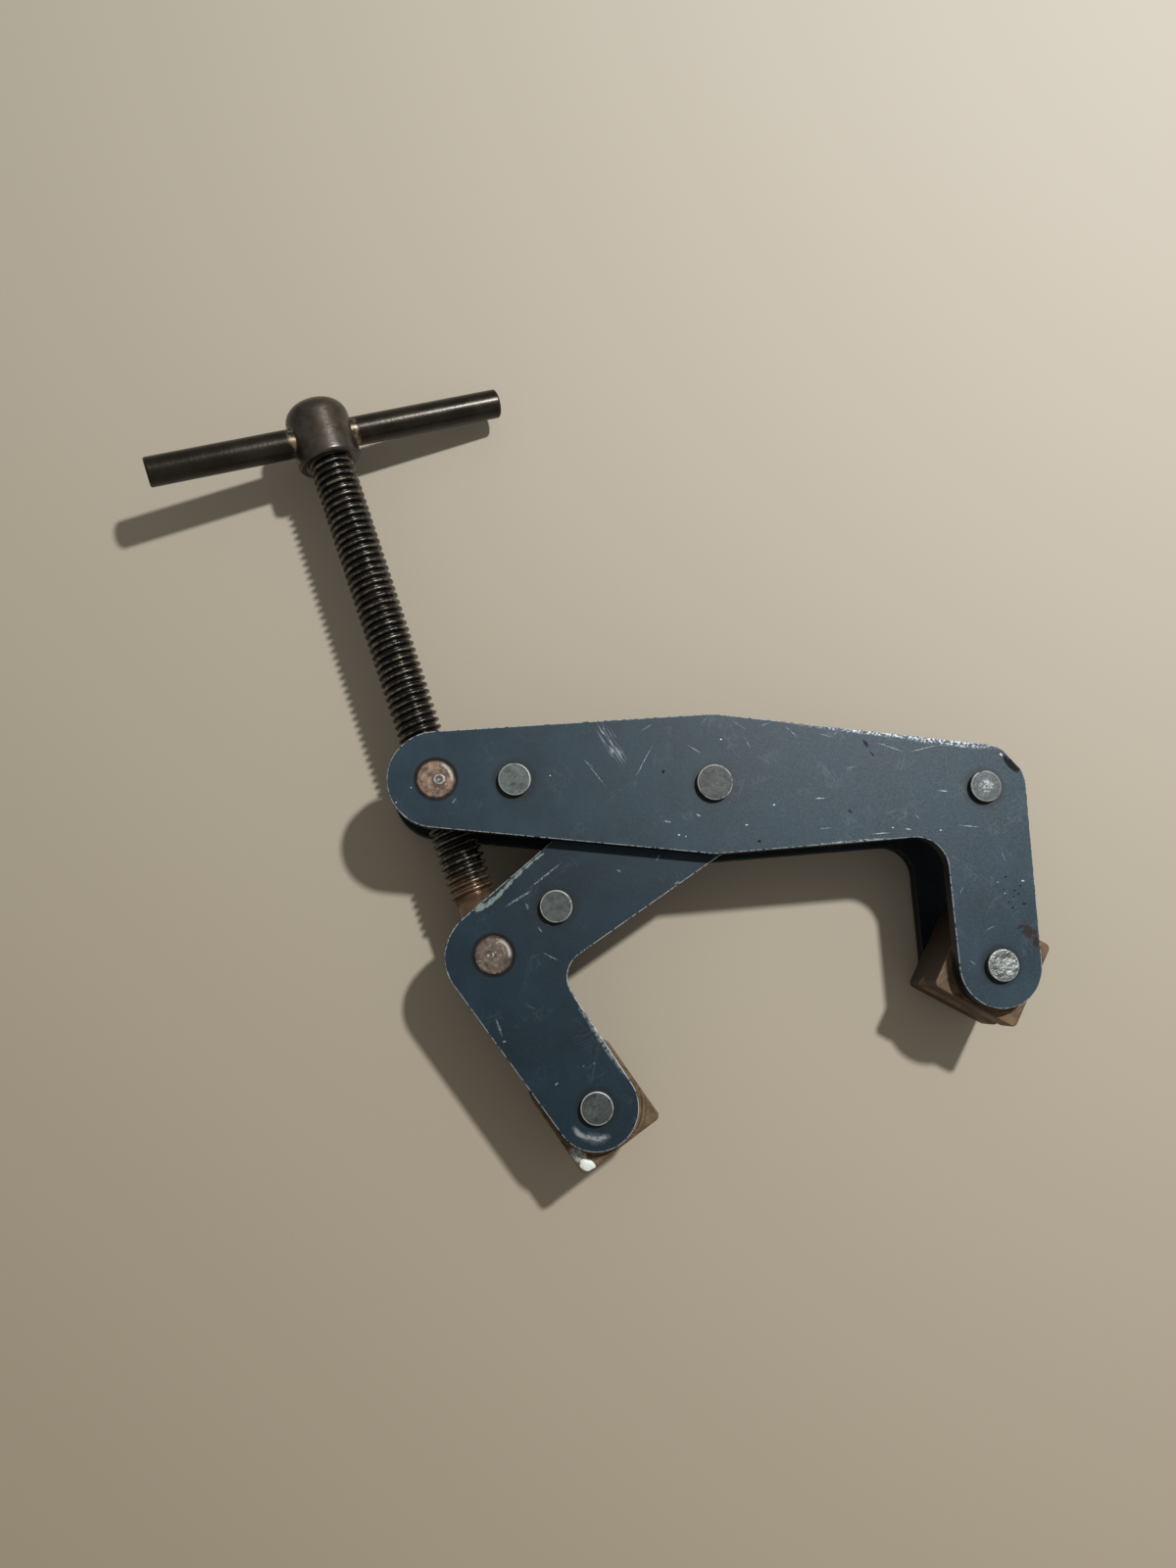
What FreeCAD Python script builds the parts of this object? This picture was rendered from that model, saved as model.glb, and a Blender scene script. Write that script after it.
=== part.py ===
"""Machinist clamp of the cantilever type, lying on its side with its jaws open.

Two outer plates make the fixed jaw. Two inner plates make the swing jaw, which turns between
them on one heavy rivet. A screw with a tee bar runs through a threaded cross trunnion held by
the outer plates and ends in a plain cross trunnion held by the inner plates. Turning it pushes
the two trunnions apart, and that closes the jaws. Each jaw tip carries a copper-plated pad that
swivels on its own rivet.

Millimetres. While it is built, the main rivet's axis is Z through the origin, the plates lie
flat, and the arm of the fixed jaw runs along -X. At the end everything moves so that the origin
is under the middle of the clamp, on the surface that it lies on.
"""
import FreeCAD, Part
import math
import os
from FreeCAD import Vector

# Stack of plates, measured along Z
plate_thickness = 3.0
inner_gap = 9.9             # room between the two inner plates
pivot_washer_thickness = 0.4
running_gap = 0.04          # between faces that slide on each other
edge_break = 0.25           # stamped edges, worn round
trunnion_side_gap = 0.1     # between a trunnion's body and the plates that hold it

# Places of the rivets, measured from the main rivet
trunnion_reach = 56.5       # main rivet to either cross trunnion
spacer_from_trunnion = 15.7 # a trunnion to the spacer rivet in the same arm
corner_reach = 57.1         # main rivet to the rivet in the corner of the fixed jaw
outer_pad_reach = 58.75     # main rivet to the pad rivet of the fixed jaw, along the arm
outer_pad_drop = 36.85      # and square to it
inner_pad_reach = 58.7      # the same for the swing jaw
inner_pad_drop = 36.1
jaw_angle = 38.1            # between the two arms, as the clamp lies

# Plate outlines, as radii about the rivets
outer_tail_radius = 9.8
outer_pivot_radius = 14.5
outer_corner_radius = 9.3
outer_tip_radius = 8.75
outer_throat_radius = 6.5
inner_tail_radius = 9.6
inner_pivot_radius = 12.9
inner_tip_radius = 8.5
inner_elbow_radius = 9.4
inner_elbow_shift = 0.5     # the tip arm starts this far outside the swivel trunnion
inner_throat_radius = 5.5
knocked_corner_depth = 0.6  # flat knocked on the corner of the upper outer plate
knocked_corner_angle = 43.0

# Rivets, spacers and washers
rivet_diameter = 5.5
rivet_head_diameter = 6.6
rivet_head_height = 1.4
pivot_diameter = 6.35
pivot_head_diameter = 7.4
head_edge = 0.35            # rounding of a rivet head's rim
spacer_diameter = 8.5
pivot_spacer_diameter = 12.0
pivot_washer_diameter = 16.0
pad_washer_diameter = 12.0
turning_clearance = 0.05    # radial, where a hole turns on a rivet or a journal

# Screw, tee bar and trunnions
screw_diameter = 9.525
thread_pitch = 1.5875       # sixteen turns to the inch
thread_depth = 0.97
thread_crest = 0.2          # width of the thread's worn crest
thread_clearance = 0.06     # radial, between the screw and the nut's bore
neck_diameter = 7.9
tail_diameter = 6.35
shoulder_reach = 7.0        # swivel axis to the face that the neck bears on
thread_start = 12.9         # swivel axis to the first thread
head_reach = 112.0          # swivel axis to the underside of the head
bar_height = 6.4            # underside of the head to the tee bar
head_diameter = 13.8
head_length = 14.0
head_dome = 3.8             # rounding at the top of the head
head_rim = 0.8              # rounding at its underside
ring_diameter = 9.0
ring_thickness = 1.0
tail_overhang = 0.6         # of the screw past its retaining ring
bar_diameter = 6.35
bar_length = 78.2
bar_offset = 1.5            # of the bar's middle from the screw axis
bar_roll = 9.2              # turn of the bar about the screw axis, right end down
bar_edge = 0.5
journal_diameter = 7.94
journal_edge = 0.25
nut_body_diameter = 15.9
swivel_body_diameter = 15.0
centre_mark_diameter = 1.6
centre_mark_depth = 0.5
nut_mark_shift = 0.65       # of the nut's centre mark, along +X
swivel_mark_shift = -1.0    # the same for the swivel

# Pads
pad_side = 19.05
outer_pad_height = 15.0
pad_corner_radius = 1.2
pad_edge = 0.3
groove_width = 5.0
groove_depth = 2.0
outer_pad_angle = -117.4    # direction that the grooved face of the fixed jaw's pad looks in
inner_pad_angle = 35.5      # the same for the swing jaw's pad

# Worked out from the sizes above
inner_half = inner_gap / 2
inner_face = inner_half + plate_thickness
outer_half = inner_face + running_gap + pivot_washer_thickness
outer_face = outer_half + plate_thickness
pad_washer_thickness = outer_half - running_gap - outer_pad_height / 2
spacer_reach = trunnion_reach - spacer_from_trunnion

pivot_at = Vector(0, 0, 0)
nut_at = Vector(-trunnion_reach, 0, 0)
outer_spacer_at = Vector(-spacer_reach, 0, 0)
corner_at = Vector(corner_reach, 0, 0)
outer_pad_at = Vector(outer_pad_reach, -outer_pad_drop, 0)


def turned(point, degrees):
    """A point turned about the main rivet."""
    angle = math.radians(degrees)
    x = point.x * math.cos(angle) - point.y * math.sin(angle)
    y = point.x * math.sin(angle) + point.y * math.cos(angle)
    return Vector(x, y, point.z)


swivel_at = turned(nut_at, jaw_angle)
inner_spacer_at = turned(outer_spacer_at, jaw_angle)
inner_pad_at = turned(Vector(-inner_pad_reach, -inner_pad_drop, 0), jaw_angle)
screw_way = (nut_at - swivel_at).normalize()
bar_level = Vector(-screw_way.y, screw_way.x, 0).negative()


def tangent(p, p_radius, q, q_radius, side):
    """Ends of the straight line that touches two circles on one side of the line p to q."""
    way = q - p
    gap = way.Length
    way.normalize()
    across = Vector(-way.y, way.x, 0) * side
    lean = (p_radius - q_radius) / gap
    touch = way * lean + across * math.sqrt(1 - lean ** 2)
    return p + touch * p_radius, q + touch * q_radius


def link(p, p_radius, q, q_radius, height):
    """A flat bar with round ends about two points."""
    way = (q - p).normalize()
    left_p, left_q = tangent(p, p_radius, q, q_radius, 1)
    right_p, right_q = tangent(p, p_radius, q, q_radius, -1)
    edges = [
        Part.LineSegment(left_p, left_q),
        Part.Arc(left_q, q + way * q_radius, right_q),
        Part.LineSegment(right_q, right_p),
        Part.Arc(right_p, p - way * p_radius, left_p),
    ]
    wire = Part.Wire([edge.toShape() for edge in edges])
    return Part.Face(wire).extrude(Vector(0, 0, height))


def crossing(a, b):
    """Where two straight lines, each given by two points, meet in plan."""
    way_a = a[1] - a[0]
    way_b = b[1] - b[0]
    start = b[0] - a[0]
    share = (start.x * way_b.y - start.y * way_b.x) / (way_a.x * way_b.y - way_a.y * way_b.x)
    return a[0] + way_a * share


def upright_edge(solid, place):
    """The edge along Z that stands nearest to a place in plan."""
    def distance(edge):
        return math.hypot(edge.Vertexes[0].X - place.x, edge.Vertexes[0].Y - place.y)

    uprights = [e for e in solid.Edges if len(e.Vertexes) == 2 and e.BoundBox.ZLength > 1e-3
                and e.BoundBox.XLength < 1e-6 and e.BoundBox.YLength < 1e-6]
    return min(uprights, key=distance)


def level_edges(solid, heights):
    """Edges that lie flat at the given heights."""
    return [e for e in solid.Edges if e.BoundBox.ZLength < 1e-6
            and any(abs(e.BoundBox.ZMin - z) < 1e-6 for z in heights)]


def drilled(solid, places):
    """Round holes right through along Z, each given by a place and a radius."""
    deep = solid.BoundBox.ZLength
    for place, radius in places:
        start = Vector(place.x, place.y, solid.BoundBox.ZMin - deep)
        solid = solid.cut(Part.makeCylinder(radius, 3 * deep, start))
    return solid


def tube(place, outside, inside, low, high):
    """A plain spacer or washer about an upright axis."""
    start = Vector(place.x, place.y, low)
    body = Part.makeCylinder(outside / 2, high - low, start)
    return body.cut(Part.makeCylinder(inside / 2, high - low, start))


def jaw_plate(arm, tip_arm, throat_side, throat_radius):
    """A stamped plate: a straight arm, then a tip arm, with a round throat between them.

    Both are rows of places, each with the radius of the outline about it.
    """
    shape = link(*arm[0], *arm[1], plate_thickness)
    for start, end in [*zip(arm[1:], arm[2:]), tip_arm]:
        shape = shape.fuse(link(*start, *end, plate_thickness))
    shape = shape.removeSplitter()
    throat = crossing(tangent(*arm[-2], *arm[-1], throat_side),
                      tangent(*tip_arm[0], *tip_arm[1], throat_side))
    shape = shape.makeFillet(throat_radius, [upright_edge(shape, throat)])
    return shape.makeFillet(edge_break, level_edges(shape, (0, plate_thickness)))


def outer_plate(upper):
    """One plate of the fixed jaw. The upper one has a flat knocked on its corner."""
    corner = (corner_at, outer_corner_radius)
    arm = [(nut_at, outer_tail_radius), (pivot_at, outer_pivot_radius), corner]
    tip_arm = [corner, (outer_pad_at, outer_tip_radius)]
    shape = jaw_plate(arm, tip_arm, -1, outer_throat_radius)
    if upper:
        side = 2 * outer_corner_radius
        lost = Part.makeBox(side, side, 3 * plate_thickness,
                            Vector(0, -side / 2, -plate_thickness))
        lost.translate(Vector(outer_corner_radius - knocked_corner_depth, 0, 0))
        lost.rotate(Vector(0, 0, 0), Vector(0, 0, 1), knocked_corner_angle)
        lost.translate(corner_at)
        shape = shape.cut(lost)
    shank = rivet_diameter / 2
    shape = drilled(shape, [
        (nut_at, journal_diameter / 2 + turning_clearance),
        (outer_spacer_at, shank),
        (pivot_at, pivot_diameter / 2),
        (corner_at, shank),
        (outer_pad_at, shank),
    ])
    shape.translate(Vector(0, 0, outer_half if upper else -outer_face))
    return shape


def inner_plate(upper):
    """One plate of the swing jaw, drawn with its arm along -X and then turned into place."""
    tail = Vector(-trunnion_reach, 0, 0)
    elbow = Vector(-trunnion_reach - inner_elbow_shift, 0, 0)
    tip = Vector(-inner_pad_reach, -inner_pad_drop, 0)
    arm = [(pivot_at, inner_pivot_radius), (tail, inner_tail_radius)]
    tip_arm = [(elbow, inner_elbow_radius), (tip, inner_tip_radius)]
    shape = jaw_plate(arm, tip_arm, 1, inner_throat_radius)
    shape = drilled(shape, [
        (tail, journal_diameter / 2 + turning_clearance),
        (Vector(-spacer_reach, 0, 0), rivet_diameter / 2),
        (pivot_at, pivot_diameter / 2 + turning_clearance),
        (tip, rivet_diameter / 2),
    ])
    shape.rotate(Vector(0, 0, 0), Vector(0, 0, 1), jaw_angle)
    shape.translate(Vector(0, 0, inner_half if upper else -inner_face))
    return shape


def rivet(place, shank_diameter, rivet_head, face):
    """A rivet through a jaw, closed to a low head on each outside face."""
    shank = Part.makeCylinder(shank_diameter / 2, 2 * face, Vector(place.x, place.y, -face))
    for side in (1, -1):
        head = Part.makeCylinder(rivet_head / 2, rivet_head_height,
                                 Vector(place.x, place.y, side * face), Vector(0, 0, side))
        rim = level_edges(head, [side * (face + rivet_head_height)])
        shank = shank.fuse(head.makeFillet(head_edge, rim))
    return shank.removeSplitter()


def trunnion(place, body_diameter, body_half, face, bore_radius, flats, mark_shift):
    """A cross trunnion: a round body with a journal at each end and a bore along the screw."""
    journal = Part.makeCylinder(journal_diameter / 2, 2 * face, Vector(0, 0, -face))
    journal = journal.makeChamfer(journal_edge, level_edges(journal, (face, -face)))
    body = Part.makeCylinder(body_diameter / 2, 2 * body_half, Vector(0, 0, -body_half))
    if flats:
        keep = Part.makeBox(2 * flats, body_diameter, 2 * body_half,
                            Vector(-flats, -body_diameter / 2, -body_half))
        keep.rotate(Vector(0, 0, 0), Vector(0, 0, 1),
                    math.degrees(math.atan2(screw_way.y, screw_way.x)))
        body = body.common(keep)
    shape = journal.fuse(body)
    shape = shape.cut(Part.makeCylinder(bore_radius, 2 * body_diameter,
                                        screw_way * -body_diameter, screw_way))
    for side in (1, -1):
        mark = Part.makeCone(centre_mark_diameter / 2, 0, centre_mark_depth,
                             Vector(mark_shift, 0, side * face), Vector(0, 0, -side))
        shape = shape.cut(mark)
    shape.translate(place)
    return shape


def along_screw(distance):
    """A point on the screw axis, measured from the swivel."""
    return swivel_at + screw_way * distance


def rod(diameter, low, high):
    """A round length of the screw between two distances from the swivel."""
    return Part.makeCylinder(diameter / 2, high - low, along_screw(low), screw_way)


def bar_way():
    """Direction of the tee bar, towards its right end."""
    roll = math.radians(bar_roll)
    return bar_level * math.cos(roll) - Vector(0, 0, 1) * math.sin(roll)


def bar_rod(length, shift):
    """A round length of the tee bar, its middle set off from the screw axis."""
    way = bar_way()
    start = along_screw(head_reach + bar_height) + way * (shift - length / 2)
    return Part.makeCylinder(bar_diameter / 2, length, start, way)


def thread_groove():
    """The groove of the thread, wound three times round Z from one pitch below the origin."""
    radius = screw_diameter / 2
    mouth = (thread_pitch - thread_crest) / 2
    over = thread_crest / 2
    wide = mouth * (thread_depth + over) / thread_depth
    section = [
        Vector(radius - thread_depth, 0, 0),
        Vector(radius + over, 0, wide),
        Vector(radius + over, 0, -wide),
    ]
    path = Part.makeLongHelix(thread_pitch, 3 * thread_pitch, radius)
    groove = Part.Wire(path).makePipeShell([Part.makePolygon(section + section[:1])], True, True)
    groove.translate(Vector(0, 0, -thread_pitch))
    return groove


def threaded_rod():
    """The threaded length of the screw, one turn upon another, from a chamfer into the head.

    It is drawn upright, with X across the screw, and then laid along the screw.
    """
    radius = screw_diameter / 2
    plain = Part.makeCylinder(radius, thread_pitch)
    chamfered = plain.makeChamfer(radius - neck_diameter / 2, level_edges(plain, [0]))
    groove = thread_groove()
    turn = plain.cut(groove)
    turns = []
    for i in range(1, math.ceil((head_reach - thread_start) / thread_pitch)):
        turns.append(turn.translated(Vector(0, 0, i * thread_pitch)))
    body = chamfered.cut(groove).fuse(turns)
    up = Vector(0, 0, 1)
    body.Placement = FreeCAD.Placement(along_screw(thread_start),
                                       FreeCAD.Rotation(up.cross(screw_way), up, screw_way))
    return body


def clamp_screw():
    """The threaded screw with its head, neck and tail in one piece."""
    tail_end = -shoulder_reach - running_gap - ring_thickness - tail_overhang
    head = Part.makeCylinder(head_diameter / 2, head_length, Vector(0, 0, 0))
    head = head.makeFillet(head_dome, level_edges(head, [head_length]))
    head = head.makeFillet(head_rim, level_edges(head, [0]))
    head.Placement = FreeCAD.Placement(along_screw(head_reach),
                                       FreeCAD.Rotation(Vector(0, 0, 1), screw_way))
    shape = rod(tail_diameter, tail_end, shoulder_reach)
    shape = shape.fuse(rod(neck_diameter, shoulder_reach + running_gap, thread_start))
    shape = shape.fuse(rod(tail_diameter, shoulder_reach, shoulder_reach + running_gap))
    shape = shape.removeSplitter().fuse(head.cut(bar_rod(3 * head_diameter, 0)))
    return shape.fuse(threaded_rod())


def tee_bar():
    """The bar pressed through the screw's head."""
    shape = bar_rod(bar_length, bar_offset)
    rims = [e for e in shape.Edges if len(e.Vertexes) == 1]
    return shape.makeFillet(bar_edge, rims)


def retaining_ring():
    """The ring that keeps the screw's tail in the swivel trunnion."""
    high = -shoulder_reach - running_gap
    ring = rod(ring_diameter, high - ring_thickness, high)
    return ring.cut(rod(tail_diameter, high - ring_thickness, high))


def pad(place, height, turn):
    """A square pad block with a vee groove across the face that looks in one direction."""
    half = pad_side / 2
    block = Part.makeBox(pad_side, pad_side, height, Vector(-half, -half, -height / 2))
    corners = [e for e in block.Edges if e.BoundBox.ZLength > height / 2]
    block = block.makeFillet(pad_corner_radius, corners)
    block = block.makeFillet(pad_edge, level_edges(block, (height / 2, -height / 2)))
    vee = [
        Vector(half - groove_depth, -pad_side, 0),
        Vector(half + groove_depth, -pad_side, groove_width),
        Vector(half + groove_depth, -pad_side, -groove_width),
    ]
    groove = Part.Face(Part.makePolygon(vee + vee[:1])).extrude(Vector(0, 2 * pad_side, 0))
    block = block.cut(groove)
    block = drilled(block, [(Vector(0, 0, 0), rivet_diameter / 2 + turning_clearance)])
    block.rotate(Vector(0, 0, 0), Vector(0, 0, 1), turn)
    block.translate(place)
    return block


def build():
    """Every piece by its name."""
    nodes = {}
    washer_low = inner_face + running_gap
    pad_low = outer_pad_height / 2 + running_gap
    for name, upper in (("top", True), ("bottom", False)):
        side = 1 if upper else -1
        nodes[f"outer_plate_{name}"] = outer_plate(upper)
        nodes[f"inner_plate_{name}"] = inner_plate(upper)
        washer = tube(pivot_at, pivot_washer_diameter, pivot_diameter, washer_low, outer_half)
        pad_washer = tube(outer_pad_at, pad_washer_diameter, rivet_diameter,
                          pad_low, pad_low + pad_washer_thickness)
        if side < 0:
            washer = washer.mirror(Vector(0, 0, 0), Vector(0, 0, 1))
            pad_washer = pad_washer.mirror(Vector(0, 0, 0), Vector(0, 0, 1))
        nodes[f"pivot_washer_{name}"] = washer
        nodes[f"pad_washer_{name}"] = pad_washer
    nodes["pivot_rivet"] = rivet(pivot_at, pivot_diameter, pivot_head_diameter, outer_face)
    for name, place in (("arm", outer_spacer_at), ("corner", corner_at)):
        nodes[f"outer_{name}_rivet"] = rivet(place, rivet_diameter, rivet_head_diameter,
                                             outer_face)
        nodes[f"outer_{name}_spacer"] = tube(place, spacer_diameter, rivet_diameter,
                                             -outer_half, outer_half)
    nodes["outer_pad_rivet"] = rivet(outer_pad_at, rivet_diameter, rivet_head_diameter,
                                     outer_face)
    nodes["inner_pad_rivet"] = rivet(inner_pad_at, rivet_diameter, rivet_head_diameter,
                                     inner_face)
    nodes["inner_arm_rivet"] = rivet(inner_spacer_at, rivet_diameter, rivet_head_diameter,
                                     inner_face)
    nodes["inner_arm_spacer"] = tube(inner_spacer_at, spacer_diameter, rivet_diameter,
                                     -inner_half, inner_half)
    nodes["pivot_spacer"] = tube(pivot_at, pivot_spacer_diameter,
                                 pivot_diameter + 2 * turning_clearance,
                                 -inner_half, inner_half)
    nodes["nut_trunnion"] = trunnion(nut_at, nut_body_diameter, outer_half - trunnion_side_gap,
                                     outer_face, screw_diameter / 2 + thread_clearance, None,
                                     nut_mark_shift)
    nodes["swivel_trunnion"] = trunnion(swivel_at, swivel_body_diameter,
                                        inner_half - trunnion_side_gap, inner_face,
                                        tail_diameter / 2 + turning_clearance, shoulder_reach,
                                        swivel_mark_shift)
    nodes["clamp_screw"] = clamp_screw()
    nodes["tee_bar"] = tee_bar()
    nodes["retaining_ring"] = retaining_ring()
    nodes["outer_pad"] = pad(outer_pad_at, outer_pad_height, outer_pad_angle)
    nodes["inner_pad"] = pad(inner_pad_at, inner_gap - 2 * running_gap, inner_pad_angle)
    return nodes


def main():
    os.makedirs("parts", exist_ok=True)
    nodes = build()
    whole = Part.makeCompound(list(nodes.values())).BoundBox
    home = Vector(-whole.Center.x, -whole.Center.y, -whole.ZMin)
    for name, shape in nodes.items():
        shape.translate(home)
        shape.exportStep(f"parts/{name}.step")
        if not shape.isValid() or len(shape.Solids) != 1:
            print("check", name, shape.isValid(), len(shape.Solids))
    print("main rivet at", round(home.x, 4), round(home.y, 4), "middle plane", round(home.z, 4))
    print("size", round(whole.XLength, 2), round(whole.YLength, 2), round(whole.ZLength, 2))


main()
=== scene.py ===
"""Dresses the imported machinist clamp: its worn lacquer, copper, oily screw thread and paint marks.

Meshes are in metres, in the row frame. Places and sizes in this file are in millimetres, and so
are the coordinates that the materials work with.
"""
import math

import bmesh
import bpy
from mathutils import Matrix, Vector


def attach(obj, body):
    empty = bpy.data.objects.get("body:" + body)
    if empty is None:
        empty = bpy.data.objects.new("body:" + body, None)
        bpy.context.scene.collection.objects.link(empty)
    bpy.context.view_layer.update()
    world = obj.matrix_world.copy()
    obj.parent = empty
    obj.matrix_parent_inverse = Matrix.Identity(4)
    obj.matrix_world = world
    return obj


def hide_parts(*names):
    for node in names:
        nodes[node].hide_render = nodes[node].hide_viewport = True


MM = 0.001
BEVEL_SAMPLES = 6

# Places in the row frame, worked out from the heavy rivet that the swing jaw turns on
MAIN_RIVET = Vector((23.9789, -7.8501, 12.79))
TRUNNION_REACH = 56.5
SPACER_REACH = 40.8
SWING = Matrix.Rotation(math.radians(38.1), 3, "Z")
CORNER_RIVET = MAIN_RIVET + Vector((57.1, 0, 0))
OUTER_PAD_RIVET = MAIN_RIVET + Vector((58.75, -36.85, 0))
INNER_PAD_RIVET = MAIN_RIVET + SWING @ Vector((-58.7, -36.1, 0))
NUT = MAIN_RIVET + Vector((-TRUNNION_REACH, 0, 0))
SWIVEL = MAIN_RIVET + SWING @ Vector((-TRUNNION_REACH, 0, 0))
OUTER_ARM_RIVET = MAIN_RIVET + Vector((-SPACER_REACH, 0, 0))
INNER_ARM_RIVET = MAIN_RIVET + SWING @ Vector((-SPACER_REACH, 0, 0))
OUTER_RIVETS = [OUTER_ARM_RIVET, MAIN_RIVET, CORNER_RIVET, OUTER_PAD_RIVET]
INNER_RIVETS = [INNER_ARM_RIVET, INNER_PAD_RIVET]
SCREW_WAY = (NUT - SWIVEL).normalized()
SCREW_SIDE = Vector((0, 0, 1)).cross(SCREW_WAY).normalized()

# Screw, measured along its axis from the swivel's middle
SWIVEL_HALF = 7.0
SWIVEL_GAP = 0.04
RING_THICKNESS = 1.0
TAIL_PAST_RING = 0.6
TAIL_RADIUS = 3.175
TAIL_BEVEL = 0.3
NECK_RADIUS = 3.95
NECK_BEVEL = 0.2
THREAD_RADIUS = 4.7625
THREAD_PITCH = 1.5875
THREAD_DEPTH = 0.97
THREAD_START = 12.9
HEAD_REACH = 112.0
HEAD_RADIUS = 6.9
HEAD_LENGTH = 14.0
HEAD_DOME = 3.8
HEAD_RIM = 0.8
RECESS_DEPTH = 0.35                 # shallow hollow round the thread, in the head's end face
RECESS_RADIUS = 5.5
THREAD_PAST_FACE = 0.8
SIDES = {"tail": 48, "neck": 64, "thread": 56, "head": 96}
ROWS_PER_TURN = 12
BAR_REACH = HEAD_REACH + 6.4
BAR_RADIUS = 3.175
BAR_ROLL = math.radians(9.2)        # right end down
BAR_WAY = -SCREW_SIDE * math.cos(BAR_ROLL) - Vector((0, 0, 1)) * math.sin(BAR_ROLL)

# Dried paint drop on the swing jaw's pad
DROP_PLACE = Vector((-1.5, -83.75, 17.62))
DROP_HALF_SIZE = (1.6, 1.12, 0.42)
DROP_TURN = math.radians(-12)

# Light and floor
LAMP_PLACE = Vector((0.40, 0.44, 1.0)) * 700
LAMP_WIDTH = 45
LAMP_WATTS = 5.7
SKY_STRENGTH = 0.28
FLOOR_HALF = 3000

# Camera, fitted to the photograph
CAMERA_PLACE = MAIN_RIVET + Vector((-46.91, -38.77, 245.71))
FOCAL_PIXELS = 1200
PICTURE_SIZE = (1200, 1600)
PIXEL_BELOW_CAMERA = (490.97, 994.82)
SENSOR_HEIGHT = 36


class Value:
    """A number or vector that runs between shader nodes."""

    def __init__(self, finish, socket):
        self.finish = finish
        self.socket = socket

    def _math(self, operation, *terms):
        return self.finish.node("Math", {"operation": operation}, dict(enumerate(terms)))

    def __add__(self, other):
        return self._math("ADD", self, other)

    def __sub__(self, other):
        return self._math("SUBTRACT", self, other)

    def __rsub__(self, other):
        return self._math("SUBTRACT", other, self)

    def __mul__(self, other):
        return self._math("MULTIPLY", self, other)

    def __abs__(self):
        return self._math("ABSOLUTE", self)

    __radd__ = __add__
    __rmul__ = __mul__

    def most(self, other):
        """The larger of the two."""
        return self._math("MAXIMUM", self, other)

    def sine(self):
        return self._math("SINE", self)

    def step(self, low, high):
        """0 below low and 1 above high, or the other way round, with a smooth change between."""
        return self.finish.node("MapRange", {"interpolation_type": "SMOOTHSTEP"},
                                {"Value": self, "From Min": low, "From Max": high})


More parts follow.
